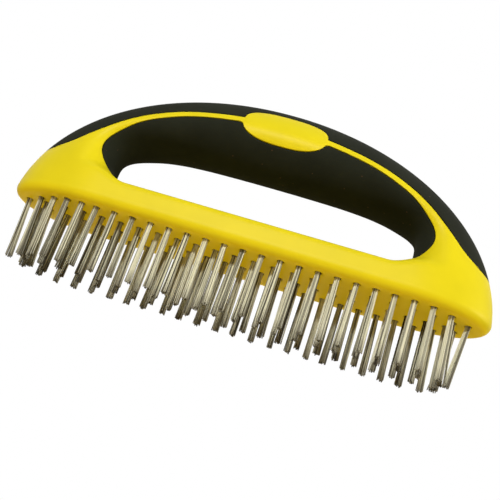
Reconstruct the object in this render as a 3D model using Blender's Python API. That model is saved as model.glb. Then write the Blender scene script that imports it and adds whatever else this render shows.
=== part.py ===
"""Hand wire scratch brush: a moulded block with a D handle, two soft grips and four rows of wire tufts.

Frame: the bristle tips stand on z = 0, +X runs along the block, -Y is the front, +Z is up.
The core is a loft. Each section runs from the outer outline of the side view to the outline of the hand
opening, and its half width follows the boat shape of the block and the rounding of the handle.
"""
from math import asin, atan2, copysign, cos, degrees, floor, hypot, pi, radians, sin, sqrt

import bmesh
import bpy
from mathutils import Matrix, Vector

# Block and handle
BLOCK_LENGTH = 0.2226           # over the rounded ends
BLOCK_WIDTH = 0.0439
BLOCK_THICKNESS = 0.0132        # underside to the floor of the hand opening
HANDLE_TOP = 0.0781             # crown of the arch above the underside
EDGE_FILLET = 0.0038            # underside edge, all round
ARCH_SQUARENESS = 2.05          # exponent of the superellipse of the side view's outside
ARCH_CENTRE = -0.0026           # its centre, below the underside
BOW_LENGTH = 0.0387             # the ends narrow over this length, and the arch rounds off over its share
TRIM_LENGTH = 0.0294            # wire from the underside to the tips

# Hand opening
OPENING_LENGTH = 0.1418
OPENING_TOP = 0.0436            # underside of the arch above the block's underside
OPENING_FLAT = 0.0390           # level stretch of the arch's underside
OPENING_SQUARENESS = 3.45       # exponent of the superellipse between that stretch and the ends
OPENING_END_HEIGHT = 0.0258     # where the opening is longest
OPENING_FLOOR_LENGTH = 0.1194   # level floor between the two lower corners
ARCH_UNDER_ROUNDING = 0.0169    # depth of the rounding under the arch
FLOOR_EDGE_ROUNDING = 0.0032    # rounding along the floor's two long edges

# Soft grips
SKIN = 0.0024                   # thickness of the moulded-on grips
SEAM = 0.0003                   # clearance between touching pieces
STRIPE_WIDTH = 0.0037           # yellow line left between the two grips
# The crown grip's edge, as turns about the middle of the block in degrees and shares of the way outside
CROWN_EDGE = ((90, 0.806), (77, 0.807), (61.5, 0.831), (50, 0.843), (43.5, 0.848), (37, 0.854), (27.7, 0.864),
              (20.6, 0.888), (15.7, 0.960), (13.6, 1.045))
STRIPE_STATIONS = 5             # of that edge that the finger grip's edge follows, one stripe below
# The lobe that ends it, as turns and shares of the way from the hand opening to the crown grip's edge
LOBE = ((33.4, 0.54), (26.5, 0.40), (22.9, 0.22), (21.2, 0.11), (15.3, -0.02))

# Nameplate pad
PAD_LENGTH = 0.0396
PAD_HEIGHT = 0.0182
PAD_CENTRE_HEIGHT = 0.0610      # above the block's underside
PAD_SQUARENESS = 2.75           # exponent of its superellipse

# Tufts
TUFT_PITCH = 0.0085
OUTER_ROW = 0.0144              # the two outer rows, from the centre line
INNER_ROW = 0.0052              # the two inner rows
INNER_FRONT_PITCH = 0.0090      # the inner front row is spaced a little wider
ROW_SHIFT = -0.0008             # the other three rows lie this far off the middle
LEFT_END_PITCH = 0.0069         # the outer front row closes up at its left end
LEFT_END_SPAN = 0.0400          # over this length of the block's end
END_MARGIN = 0.0085             # the block's end to the last tufts of the outer rows
INNER_END_MARGIN = 0.0165       # and to those of the inner rows
ROW_CURVE_LENGTH = 0.0250       # the rows draw together over this length
ROW_CURVE_TIP = 0.0060          # and would meet this far from the block's end
ROW_CURVE_POWER = 1.6
PLUG_RADIUS = 0.00130
PLUG_SIDES = 6
HOLE_DEPTH = 0.0085
STRANDS = 4
STRAND_RADIUS = 0.00050
STRAND_SIDES = 3
STRAND_CIRCLE = 0.00078         # circle of the strands' centres at the hole
STRAND_SPLAY = 0.00045          # how far the circle opens at the tips
STRAND_ROOT = 0.0012            # length fused inside the plug
STRIP_WIDTH = 0.0011            # anchor strip that ties a column's tufts together inside the block
STRIP_HEIGHT = 0.0011
STRIP_START = 0.0005            # how near to a plug's axis the strip runs

# Fineness of the loft
ARCH_STEPS = 30
BOW_STEPS = 5
FILLET_STEPS = 3
CORNER_STEPS = 2
FLOOR_STEPS = 4
SECTION_STEPS = 8
OUTLINE_STEPS = 3
PAD_STEPS = 24
FILLET_TURN = 28                # degrees of the opening's lower corner that face the bow's edge fillet
BOW_TURN = 58                   # and those up to the place where the block stops narrowing

HALF_LENGTH = BLOCK_LENGTH / 2
HALF_WIDTH = BLOCK_WIDTH / 2
BASE_SHARE = (EDGE_FILLET - ARCH_CENTRE) / (HANDLE_TOP - ARCH_CENTRE)
ARCH_HALF_LENGTH = HALF_LENGTH / (1 - BASE_SHARE ** ARCH_SQUARENESS) ** (1 / ARCH_SQUARENESS)
BOW_START = 1 - BOW_LENGTH / HALF_LENGTH
THROUGH = BLOCK_WIDTH           # half depth of a prism that passes right through the brush
PLUG_TOP = TRIM_LENGTH + HOLE_DEPTH - SEAM
STRIP_TOP = PLUG_TOP - SEAM


def fresh_scene():
    """Empty the file and add one collection for the brush and one for its cutters."""
    for old in list(bpy.data.objects):
        bpy.data.objects.remove(old, do_unlink=True)
    collections = []
    for name in ("wire_scratch_brush", "cutters"):
        collection = bpy.data.collections.new(name)
        bpy.context.scene.collection.children.link(collection)
        collections.append(collection)
    return collections


def material(name, colour, roughness, metallic=0.0):
    made = bpy.data.materials.new(name)
    made.use_nodes = True
    shader = made.node_tree.nodes["Principled BSDF"]
    shader.inputs["Base Color"].default_value = (*colour, 1.0)
    shader.inputs["Roughness"].default_value = roughness
    shader.inputs["Metallic"].default_value = metallic
    return made


def add_object(name, mesh, collection, surface=None, smooth=True):
    made = bpy.data.objects.new(name, mesh)
    collection.objects.link(made)
    if surface:
        mesh.materials.append(surface)
    if smooth:
        mesh.shade_smooth()
        mesh.set_sharp_from_angle(angle=pi / 5)
    return made


def as_cutter(made):
    made.hide_render = True
    made.display_type = "WIRE"
    return made


def boolean(target, operation, cutter):
    step = target.modifiers.new(f"{operation.lower()} {cutter.name}", "BOOLEAN")
    step.operation = operation
    step.object = cutter
    step.solver = "EXACT"


# ---------------------------------------------------------------- core loft

def rounded(share, squareness):
    """A superellipse's coordinate from the cosine or sine of the turn."""
    return copysign(abs(share) ** (2 / squareness), share)


def arch_axes(inset):
    """Half length and rise of the side view's superellipse, and its half length where the edge fillet starts."""
    half = ARCH_HALF_LENGTH - inset
    rise = HANDLE_TOP - ARCH_CENTRE - inset
    share = (EDGE_FILLET - ARCH_CENTRE) / rise
    return half, rise, half * (1 - share ** ARCH_SQUARENESS) ** (1 / ARCH_SQUARENESS)


def outer_outline(inset):
    """Side view of the brush's outside, from the right end over the arch, down and back along the underside."""
    half, rise, length = arch_axes(inset)
    fillet = EDGE_FILLET - inset
    first = asin(((EDGE_FILLET - ARCH_CENTRE) / rise) ** (ARCH_SQUARENESS / 2))
    points = []
    for i in range(ARCH_STEPS + 1):
        turn = first + (pi - 2 * first) * i / ARCH_STEPS
        points.append((half * rounded(cos(turn), ARCH_SQUARENESS),
                       ARCH_CENTRE + rise * rounded(sin(turn), ARCH_SQUARENESS)))
    corner = []
    for i in range(1, FILLET_STEPS + 1):
        turn = pi / 2 * i / FILLET_STEPS
        corner.append((length - fillet + fillet * cos(turn), inset + fillet - fillet * sin(turn)))
    bow_start = BOW_START * length
    for i in range(1, BOW_STEPS + 1):
        turn = pi / 2 * (1 - i / BOW_STEPS)
        corner.append((bow_start + (length - fillet - bow_start) * sin(turn), inset))
    for i in range(1, CORNER_STEPS + 1):
        corner.append((bow_start + (OPENING_FLOOR_LENGTH / 2 - bow_start) * i / CORNER_STEPS, inset))
    points += [(-x, z) for x, z in corner]
    for i in range(1, FLOOR_STEPS):
        points.append((OPENING_FLOOR_LENGTH * (i / FLOOR_STEPS - 0.5), inset))
    points += reversed(corner)
    return points


def opening_outline(inset):
    """The hand opening's outline, point for point beside outer_outline."""
    half = OPENING_LENGTH / 2 + inset
    flat = OPENING_FLAT / 2
    top = OPENING_TOP + inset
    floor = BLOCK_THICKNESS - inset
    floor_half = OPENING_FLOOR_LENGTH / 2
    points = []
    for i in range(ARCH_STEPS + 1):
        x = half * cos(pi * i / ARCH_STEPS)
        along = max(0.0, abs(x) - flat) / (half - flat)
        fall = max(0.0, 1 - along ** OPENING_SQUARENESS) ** (1 / OPENING_SQUARENESS)
        points.append((x, OPENING_END_HEIGHT + (top - OPENING_END_HEIGHT) * fall))
    turns = [FILLET_TURN * i / FILLET_STEPS for i in range(1, FILLET_STEPS + 1)]
    turns += [FILLET_TURN + (BOW_TURN - FILLET_TURN) * i / BOW_STEPS for i in range(1, BOW_STEPS + 1)]
    turns += [BOW_TURN + (90 - BOW_TURN) * i / CORNER_STEPS for i in range(1, CORNER_STEPS + 1)]
    corner = []
    for turn in (radians(turn) for turn in turns):
        corner.append((floor_half + (half - floor_half) * cos(turn),
                       OPENING_END_HEIGHT - (OPENING_END_HEIGHT - floor) * sin(turn)))
    points += [(-x, z) for x, z in corner]
    for i in range(1, FLOOR_STEPS):
        points.append((OPENING_FLOOR_LENGTH * (i / FLOOR_STEPS - 0.5), floor))
    points += reversed(corner)
    return points


def boat_half_width(x, z, inset):
    """Half width before the opening's rounding: full amidships, closing as an ellipse to the outer outline."""
    half, rise, length = arch_axes(inset)
    width = HALF_WIDTH - inset
    fillet = EDGE_FILLET - inset
    drop = EDGE_FILLET - z
    if drop > 0:
        undercut = fillet - sqrt(max(0.0, fillet ** 2 - drop ** 2))
        half *= 1 - undercut / length
        width -= undercut
    height = max(EDGE_FILLET, z) - ARCH_CENTRE
    reach = ((abs(x) / half) ** ARCH_SQUARENESS + (height / rise) ** ARCH_SQUARENESS) ** (1 / ARCH_SQUARENESS)
    along = min(1.0, max(0.0, reach - BOW_START) / (1 - BOW_START))
    return width * sqrt(1 - along ** 2)


def under_rounding(x, z, inset):
    """Depth of the rounding beside the opening, and the share of the width that it takes off."""
    floor = BLOCK_THICKNESS - inset
    climb = min(1.0, max(0.0, (z - floor) / (OPENING_END_HEIGHT - floor)))
    blend = climb * climb * (3 - 2 * climb)
    depth = FLOOR_EDGE_ROUNDING + (ARCH_UNDER_ROUNDING - FLOOR_EDGE_ROUNDING) * blend
    share = FLOOR_EDGE_ROUNDING / HALF_WIDTH
    return depth, share + (1 - share) * blend


def core_mesh(name, inset=0.0):
    """The whole handle and block as one closed skin, moved inwards by inset."""
    outer = outer_outline(inset)
    opening = opening_outline(inset)
    bm = bmesh.new()
    front, back = [], []
    for (x0, z0), (x1, z1) in zip(outer, opening):
        ruling = hypot(x1 - x0, z1 - z0)
        depth, share = under_rounding(x1, z1, inset)
        front_row, back_row = [], []
        for j in range(SECTION_STEPS + 1):
            t = (1 - cos(pi * j / SECTION_STEPS)) / 2
            x = x0 + (x1 - x0) * t
            z = z0 + (z1 - z0) * t
            near = max(0.0, 1 - ruling * (1 - t) / depth)
            half = boat_half_width(x, z, inset) * (1 - share * (1 - sqrt(max(0.0, 1 - near ** 2))))
            place = Vector((x, 0.0, z + TRIM_LENGTH))
            if half < SEAM / 10:
                shared = bm.verts.new(place)
                front_row.append(shared)
                back_row.append(shared)
            else:
                front_row.append(bm.verts.new(place - Vector((0, half, 0))))
                back_row.append(bm.verts.new(place + Vector((0, half, 0))))
        front.append(front_row)
        back.append(back_row)

    def face(*corners):
        ring = [v for i, v in enumerate(corners) if v is not corners[i - 1]]
        if len(ring) > 2:
            bm.faces.new(ring)

    count = len(outer)
    for i in range(count):
        k = (i + 1) % count
        for j in range(SECTION_STEPS):
            face(front[i][j], front[i][j + 1], front[k][j + 1], front[k][j])
            face(back[k][j], back[k][j + 1], back[i][j + 1], back[i][j])
        face(front[k][0], back[k][0], back[i][0], front[i][0])
        face(front[i][-1], back[i][-1], back[k][-1], front[k][-1])
    bmesh.ops.recalc_face_normals(bm, faces=bm.faces)
    mesh = bpy.data.meshes.new(name)
    bm.to_mesh(mesh)
    bm.free()
    return mesh


# ---------------------------------------------------------------- grip outlines

def smooth_line(points):
    """Points of a Catmull-Rom curve through the given ones."""
    line = []
    padded = [points[0], *points, points[-1]]
    for a, b, c, d in zip(padded, padded[1:], padded[2:], padded[3:]):
        for i in range(OUTLINE_STEPS):
            t = i / OUTLINE_STEPS
            line.append(tuple(
                0.5 * (2 * q + (r - p) * t + (2 * p - 5 * q + 4 * r - s) * t ** 2
                       + (3 * q - p - 3 * r + s) * t ** 3)
                for p, q, r, s in zip(a, b, c, d)))
    line.append(points[-1])
    return line


def both_ends(half_line):
    """A half line from the middle outwards, mirrored to the other end: left end first."""
    return [(-x, z) for x, z in reversed(half_line[1:])] + list(half_line)


def grown(outline, margin):
    """The closed outline moved outwards by margin. It runs anticlockwise in the side view."""
    moved = []
    count = len(outline)
    for i, (x, z) in enumerate(outline):
        x0, z0 = outline[i - 1]
        x1, z1 = outline[(i + 1) % count]
        run = hypot(x1 - x0, z1 - z0)
        moved.append((x + margin * (z1 - z0) / run, z - margin * (x1 - x0) / run))
    return moved


def on_arch(turn_deg, share):
    """Point (x, z) at a turn about the middle of the block and a share of the way from there to the outside."""
    turn = radians(turn_deg)
    return share * HALF_LENGTH * cos(turn), EDGE_FILLET + share * (HANDLE_TOP - EDGE_FILLET) * sin(turn)


def place_on_arch(x, z):
    """The turn and share of a point."""
    along = x / HALF_LENGTH
    up = (z - EDGE_FILLET) / (HANDLE_TOP - EDGE_FILLET)
    return degrees(atan2(up, along)), hypot(along, up)


def share_at(turn, stations):
    """Share of a line at a turn, between its stations."""
    ordered = sorted(stations)
    for (turn0, share0), (turn1, share1) in zip(ordered, ordered[1:]):
        if turn0 <= turn <= turn1:
            return share0 + (share1 - share0) * (turn - turn0) / (turn1 - turn0)
    raise ValueError(f"no station beside {turn} degrees")


def crown_edge():
    """Lower edge of the crown grip from its middle to an end, as (x, z) above the underside."""
    return [on_arch(turn, share) for turn, share in CROWN_EDGE]


def finger_edge():
    """Upper edge of the finger grip from its middle to an end: below the stripe, then round a lobe."""
    line = []
    for x, z in crown_edge()[:STRIPE_STATIONS]:
        from_centre = Vector((x, z - EDGE_FILLET))
        nearer = from_centre * (1 - STRIPE_WIDTH / from_centre.length)
        line.append((nearer.x, nearer.y + EDGE_FILLET))
    opening = [place_on_arch(x, z) for x, z in opening_outline(0.0) if x > OPENING_FLOOR_LENGTH / 2 - SEAM]
    for turn, share in LOBE:
        inner = share_at(turn, opening)
        line.append(on_arch(turn, inner + share * (share_at(turn, CROWN_EDGE) - inner)))
    return line


def crown_outline(margin=0.0):
    """Side outline of everything above the stripe."""
    edge = smooth_line(both_ends(crown_edge()))
    beyond = HALF_LENGTH * 1.2
    above = HANDLE_TOP * 1.2
    end_height = edge[0][1]
    return grown(edge + [(beyond, end_height), (beyond, above), (-beyond, above), (-beyond, end_height)], margin)


def finger_outline(margin=0.0):
    """Side outline of everything between the stripe and the air in the hand opening."""
    edge = smooth_line(both_ends(finger_edge()))
    x, z = edge[-1]
    in_air = (x - FLOOR_EDGE_ROUNDING, z + SEAM)
    return grown([*reversed(edge), (-in_air[0], in_air[1]), in_air], margin)


def pad_outline(margin=0.0):
    """Superellipse of the nameplate pad."""
    points = []
    for i in range(PAD_STEPS):
        turn = 2 * pi * i / PAD_STEPS
        points.append((
            (PAD_LENGTH / 2 + margin) * rounded(cos(turn), PAD_SQUARENESS),
            PAD_CENTRE_HEIGHT + (PAD_HEIGHT / 2 + margin) * rounded(sin(turn), PAD_SQUARENESS)))
    return points


def prism(name, outline, cutters):
    """A cutter with this side outline that runs right through the brush from front to back."""
    bm = bmesh.new()
    ring = [bm.verts.new((x, -THROUGH, z + TRIM_LENGTH)) for x, z in outline]
    cap = bm.faces.new(ring)
    extruded = bmesh.ops.extrude_face_region(bm, geom=[cap])["geom"]
    moved = [item for item in extruded if isinstance(item, bmesh.types.BMVert)]
    bmesh.ops.translate(bm, verts=moved, vec=(0, 2 * THROUGH, 0))
    bmesh.ops.recalc_face_normals(bm, faces=bm.faces)
    mesh = bpy.data.meshes.new(name)
    bm.to_mesh(mesh)
    bm.free()
    return as_cutter(add_object(name, mesh, cutters, smooth=False))


def build_core_and_grips(parts, cutters):
    yellow = material("yellow plastic", (0.86, 0.70, 0.02), 0.38)
    black = material("black soft grip", (0.020, 0.021, 0.018), 0.62)

    under_grip = as_cutter(add_object("under_grip", core_mesh("under_grip", SKIN), cutters))
    pocket_floor = as_cutter(add_object("pocket_floor", core_mesh("pocket_floor", SKIN + SEAM), cutters))
    pad = prism("pad", pad_outline(), cutters)
    pad_clearance = prism("pad_clearance", pad_outline(SEAM), cutters)

    body = add_object("brush_body", core_mesh("brush_body"), parts, yellow)
    for name, outline in (("crown_grip", crown_outline), ("finger_grip", finger_outline)):
        region = prism(f"{name}_region", outline(), cutters)
        grip = add_object(name, core_mesh(name), parts, black)
        boolean(grip, "INTERSECT", region)
        boolean(grip, "DIFFERENCE", under_grip)
        boolean(grip, "DIFFERENCE", pad_clearance)

        pocket = prism(f"{name}_pocket", outline(SEAM), cutters)
        boolean(pocket, "DIFFERENCE", pocket_floor)
        boolean(pocket, "DIFFERENCE", pad)
        boolean(body, "DIFFERENCE", pocket)
    return body


# ---------------------------------------------------------------- tufts

def row_draw(x):
    """Share of a row's distance from the centre line that is left at x, where the ends curve in."""
    start = HALF_LENGTH - ROW_CURVE_TIP - ROW_CURVE_LENGTH
    along = min(1.0, max(0.0, abs(x) - start) / ROW_CURVE_LENGTH)
    return 1 - along ** ROW_CURVE_POWER


def spaced(first, pitch, limit):
    """Places from first outwards by pitch, up to limit."""
    return [first + pitch * i for i in range(int((limit - first) / pitch + 1e-6) + 1)]


def tuft_rows():
    """Four lists of tuft places (x, y), front row first."""
    outer_limit = HALF_LENGTH - END_MARGIN
    inner_limit = HALF_LENGTH - INNER_END_MARGIN
    right = spaced(0.0, TUFT_PITCH, outer_limit)
    left = spaced(TUFT_PITCH, TUFT_PITCH, HALF_LENGTH - LEFT_END_SPAN)
    left += spaced(left[-1] + LEFT_END_PITCH, LEFT_END_PITCH, outer_limit)
    inner_front = spaced(INNER_FRONT_PITCH / 2, INNER_FRONT_PITCH, inner_limit)
    inner_back = spaced(TUFT_PITCH, TUFT_PITCH, inner_limit)
    back = spaced(TUFT_PITCH / 2, TUFT_PITCH, outer_limit)
    rows = (
        (-OUTER_ROW, ROW_SHIFT, right + [-x for x in left]),
        (-INNER_ROW, 0.0, inner_front + [-x for x in inner_front]),
        (INNER_ROW, ROW_SHIFT, [0.0] + inner_back + [-x for x in inner_back]),
        (OUTER_ROW, ROW_SHIFT, back + [-x for x in back]),
    )
    return [[(x + shift, y * row_draw(x)) for x in sorted(places)] for y, shift, places in rows]


def add_rod(bm, low, high, radius, sides, turn=0.0):
    """A straight rod with level ends between two centres, one regular polygon at each."""
    rings = []
    for centre in (low, high):
        rings.append([bm.verts.new(centre + Vector((cos(a), sin(a), 0)) * radius)
                      for a in (turn + 2 * pi * i / sides for i in range(sides))])
    bm.faces.new(reversed(rings[0]))
    bm.faces.new(rings[1])
    for i in range(sides):
        k = (i + 1) % sides
        bm.faces.new((rings[0][i], rings[0][k], rings[1][k], rings[1][i]))


def mesh_from(name, bm):
    mesh = bpy.data.meshes.new(name)
    bm.to_mesh(mesh)
    bm.free()
    return mesh


def tuft_columns(rows):
    """The tufts of all rows, gathered into named columns across the block, each in order from front to back."""
    columns = {}
    for x, y in (place for row in rows for place in row):
        number = floor((x - ROW_SHIFT) / TUFT_PITCH + 0.5 + 1e-6)
        name = f"tufts_{'left' if number < 0 else 'right'}_{abs(number):02d}" if number else "tufts_middle"
        columns.setdefault(name, []).append((x, y))
    return {name: sorted(places, key=lambda place: place[1]) for name, places in columns.items()}


def add_strip(bm, column, top, clearance=0.0):
    """Bars from plug to plug along a column, just under the height top."""
    for (x0, y0), (x1, y1) in zip(column, column[1:]):
        run = Vector((x1 - x0, y1 - y0, 0))
        size = Matrix.Diagonal((run.length - 2 * STRIP_START, STRIP_WIDTH + 2 * clearance,
                                STRIP_HEIGHT + 2 * clearance, 1.0))
        middle = Vector(((x0 + x1) / 2, (y0 + y1) / 2, top - STRIP_HEIGHT / 2))
        turned = Matrix.Rotation(atan2(run.y, run.x), 4, "Z")
        bmesh.ops.create_cube(bm, size=1.0, matrix=Matrix.Translation(middle) @ turned @ size)


def drill_holes(body, columns, cutters):
    """Blind holes in the underside, with a slot for each column's strip near their bottoms."""
    holes = bmesh.new()
    slots = bmesh.new()
    radius = PLUG_RADIUS + SEAM / cos(pi / PLUG_SIDES)
    for column in columns.values():
        for x, y in column:
            add_rod(holes, Vector((x, y, TRIM_LENGTH - SEAM)), Vector((x, y, TRIM_LENGTH + HOLE_DEPTH)),
                    radius, PLUG_SIDES)
        add_strip(slots, column, STRIP_TOP, SEAM)
    cutter = as_cutter(add_object("tuft_holes", mesh_from("tuft_holes", holes), cutters, smooth=False))
    slot_cutter = as_cutter(add_object("strip_slots", mesh_from("strip_slots", slots), cutters, smooth=False))
    boolean(cutter, "UNION", slot_cutter)
    boolean(body, "DIFFERENCE", cutter)


def add_strands(bm, x, y):
    """The tuft's strands: fused to its plug above the hole's mouth and cut level at the tips."""
    reach = STRAND_ROOT / TRIM_LENGTH
    for i in range(STRANDS):
        around = 2 * pi * (i + 0.5) / STRANDS
        outwards = Vector((cos(around), sin(around), 0))
        low = Vector((x, y, 0)) + outwards * (STRAND_CIRCLE + STRAND_SPLAY)
        high = Vector((x, y, TRIM_LENGTH + STRAND_ROOT)) + outwards * (STRAND_CIRCLE - STRAND_SPLAY * reach)
        add_rod(bm, low, high, STRAND_RADIUS, STRAND_SIDES, around + pi)


def build_tufts(columns, parts, cutters):
    """One solid for each column: plugs in their holes, the strip that ties them and the strands below."""
    wire = material("steel wire", (0.62, 0.60, 0.50), 0.35, 1.0)
    for name, column in columns.items():
        plugs, strip, strands = bmesh.new(), bmesh.new(), bmesh.new()
        for x, y in column:
            add_rod(plugs, Vector((x, y, TRIM_LENGTH)), Vector((x, y, PLUG_TOP)), PLUG_RADIUS, PLUG_SIDES)
            add_strands(strands, x, y)
        add_strip(strip, column, STRIP_TOP)
        tufts = add_object(name, mesh_from(name, plugs), parts, wire, smooth=False)
        if len(column) > 1:
            ties = add_object(f"{name}_strip", mesh_from(f"{name}_strip", strip), cutters, smooth=False)
            boolean(tufts, "UNION", as_cutter(ties))
        bundle = add_object(f"{name}_strands", mesh_from(f"{name}_strands", strands), cutters, smooth=False)
        boolean(tufts, "UNION", as_cutter(bundle))


def main():
    parts, cutters = fresh_scene()
    body = build_core_and_grips(parts, cutters)
    columns = tuft_columns(tuft_rows())
    drill_holes(body, columns, cutters)
    build_tufts(columns, parts, cutters)


main()
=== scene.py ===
"""Dressed model of a hand wire scratch brush: moulded yellow body, two soft black grips, steel wire tufts.

The body and the grips are one loft, cut along the grips' edges. Each station of the loft is a ray in the side
view, from the brush's outside to the hand opening. The wires are made by one Geometry Nodes tree, which runs
once for each column of tufts. Lengths are in metres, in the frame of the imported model: the wire tips stand on
z = 0, +X runs along the block and -Y is the front.
"""
from math import asin, cos, floor, pi, radians, sin, sqrt

import bmesh
import bpy
import numpy as np
from mathutils import Matrix, Vector
from mathutils.geometry import delaunay_2d_cdt


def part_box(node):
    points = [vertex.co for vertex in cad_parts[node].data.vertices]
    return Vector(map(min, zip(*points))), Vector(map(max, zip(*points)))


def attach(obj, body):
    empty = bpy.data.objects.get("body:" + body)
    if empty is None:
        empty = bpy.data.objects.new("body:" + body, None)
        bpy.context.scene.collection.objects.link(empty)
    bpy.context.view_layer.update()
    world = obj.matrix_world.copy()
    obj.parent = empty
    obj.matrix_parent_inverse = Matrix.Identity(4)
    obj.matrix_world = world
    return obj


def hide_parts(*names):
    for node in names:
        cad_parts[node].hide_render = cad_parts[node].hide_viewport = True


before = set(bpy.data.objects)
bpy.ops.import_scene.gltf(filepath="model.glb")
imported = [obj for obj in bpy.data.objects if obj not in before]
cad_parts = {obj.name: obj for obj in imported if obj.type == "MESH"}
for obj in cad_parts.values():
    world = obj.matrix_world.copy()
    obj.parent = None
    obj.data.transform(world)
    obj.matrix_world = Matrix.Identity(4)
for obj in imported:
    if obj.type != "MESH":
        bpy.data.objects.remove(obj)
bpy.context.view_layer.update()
BODY_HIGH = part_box("brush_body")[1]
CROWN_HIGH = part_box("crown_grip")[1]
ROOT = "root"

# Block and handle, as in the part's source
TRIM_LENGTH = 0.0294            # wire tips to the block's underside
HALF_LENGTH = BODY_HIGH.x
HALF_WIDTH = BODY_HIGH.y
HANDLE_TOP = CROWN_HIGH.z - TRIM_LENGTH
BLOCK_THICKNESS = 0.0132        # underside to the floor of the hand opening
EDGE_FILLET = 0.0038            # underside edge, all round
ARCH_SQUARENESS = 2.05          # exponent of the superellipse of the side view's outside
ARCH_CENTRE = -0.0026           # its centre, below the underside
BOW_LENGTH = 0.0387             # the ends narrow over this length
OPENING_LENGTH = 0.1418
OPENING_TOP = 0.0436            # underside of the arch above the block's underside
OPENING_FLAT = 0.0390           # level stretch of the arch's underside
OPENING_SQUARENESS = 3.45       # exponent of the superellipse between that stretch and the ends
OPENING_END_HEIGHT = 0.0258     # where the opening is longest
OPENING_FLOOR_LENGTH = 0.1194   # level floor between the two lower corners
ARCH_UNDER_ROUNDING = 0.0169    # depth of the rounding under the arch
FLOOR_EDGE_ROUNDING = 0.0032    # rounding along the floor's two long edges
FILLET_TURN = 28                # degrees of the opening's lower corner that face the bow's edge fillet
BOW_TURN = 58                   # and those up to the place where the block stops narrowing
FAN_SHARE = 0.22                # the rays over each shoulder fan out from the opening's end

# Grips and nameplate pad
SKIN = 0.0024                   # thickness of the grips
SKIN_AT_TIP = 0.0004            # what is left of it at their pointed tips
SKIN_GROWTH = 0.6               # and how fast it thickens with the grip's width from there
SEAM = 0.0003                   # clearance between touching pieces
STRIPE_WIDTH = 0.0037           # yellow line left between the two grips
# The crown grip's edge, as turns about the middle of the block in degrees and shares of the way outside
CROWN_EDGE = ((90, 0.806), (77, 0.807), (61.5, 0.831), (50, 0.843), (43.5, 0.848), (37, 0.854), (27.7, 0.864),
              (20.6, 0.888), (15.7, 0.960), (13.6, 1.045))
STRIPE_STATIONS = 5             # of that edge that the finger grip's edge follows, one stripe below
# Its edge beyond them, as turns and shares of the way from the opening's rim to the crown grip's edge
LOBE = ((33.4, 0.54), (26.5, 0.40), (22.9, 0.22), (21.2, 0.11), (15.3, -0.02))
PAD_LENGTH = 0.0396
PAD_HEIGHT = 0.0182
PAD_CENTRE_HEIGHT = 0.0610      # above the block's underside
PAD_SQUARENESS = 2.75           # exponent of its superellipse

# Tufts
TUFT_PITCH = 0.0085
OUTER_ROW = 0.0144              # the two outer rows, from the centre line
INNER_ROW = 0.0052              # the two inner rows
INNER_FRONT_PITCH = 0.0090      # the inner front row is spaced a little wider
ROW_SHIFT = -0.0008             # the other three rows lie this far off the middle
LEFT_END_PITCH = 0.0069         # the outer front row closes up at its left end
LEFT_END_SPAN = 0.0400          # over this length of the block's end
END_MARGIN = 0.0085             # the block's end to the last tufts of the outer rows
INNER_END_MARGIN = 0.0165       # and to those of the inner rows
ROW_CURVE_LENGTH = 0.0250       # the rows draw together over this length
ROW_CURVE_TIP = 0.0060          # and would meet this far from the block's end
ROW_CURVE_POWER = 1.6
HOLE_RADIUS = 0.00160
HOLE_DEPTH = 0.0085

# Fineness: rays of the side view, stations along each ray, points of the edge lines
ARCH_RAYS = 132
FILLET_RAYS = 7
BOW_RAYS = 14
CORNER_RAYS = 8
FLOOR_RAYS = 26
PAD_RAYS = 40                   # extra rays through the pad's outline
TIP_RAYS = 42                   # extra rays at each end of the arch, where the grips run to a point
TIP_SPAN = 0.14                 # over this share of the arch
RAY_SPACING = 0.0004            # least share of the arch between two rays
RAY_DIGITS = 5                  # decimals kept of those shares
FINE_SHARES = np.linspace(0.25, 0.75, 6001)     # in which the pad's rays are looked for
RIM_POINTS = 200
CUT_POINTS = 1601               # along each ray, to find where the grips' edges cross it
EDGE_LINE_STEPS = 12
EDGE_LINE_EASING = 36           # smoothing passes over each edge line
CROWN_STEPS = 16
YELLOW_STEPS = 26
FINGER_STEPS = 20
HOLE_SIDES = 20
SHARP_ANGLE = 35                # degrees from which an edge is shaded sharp
MERGED = 2e-6                   # vertices nearer than this are one
NO_WIDTH = 1e-5                 # share of a ray under which a grip has no width
TINY = 1e-6                     # keeps a division or a count from failing by a rounding error
HAIR = 1e-9                     # a length or height under this is none

# Small radii
GRIP_EDGE = 0.00055             # rounding of the grips' edges
GRIP_EDGE_ROOM = 0.5            # at most this share of a narrow strip's width
YELLOW_EDGE = 0.00025           # rounding of the yellow edges beside them
YELLOW_EDGE_ROOM = 0.4
HOLE_CHAMFER = 0.00022

BASE_SHARE = (EDGE_FILLET - ARCH_CENTRE) / (HANDLE_TOP - ARCH_CENTRE)
ARCH_HALF_LENGTH = HALF_LENGTH / (1 - BASE_SHARE ** ARCH_SQUARENESS) ** (1 / ARCH_SQUARENESS)
BOW_START = 1 - BOW_LENGTH / HALF_LENGTH
OTHER_END = np.array((-1.0, 1.0))       # turns a side view point into its mirror image at the other end


# ---------------------------------------------------------------- loft

def power(value, exponent):
    """The value's power, with its sign kept."""
    return np.sign(value) * np.abs(value) ** exponent


def eased(share):
    """The share with a soft start and end."""
    return share * share * (3 - 2 * share)


def arch_axes(inset):
    """Half length and rise of the arch's superellipse, moved inwards, and its half length at the fillet."""
    half = ARCH_HALF_LENGTH - inset
    rise = HANDLE_TOP - ARCH_CENTRE - inset
    share = (EDGE_FILLET - ARCH_CENTRE) / rise
    return half, rise, half * (1 - share ** ARCH_SQUARENESS) ** (1 / ARCH_SQUARENESS)


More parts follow.
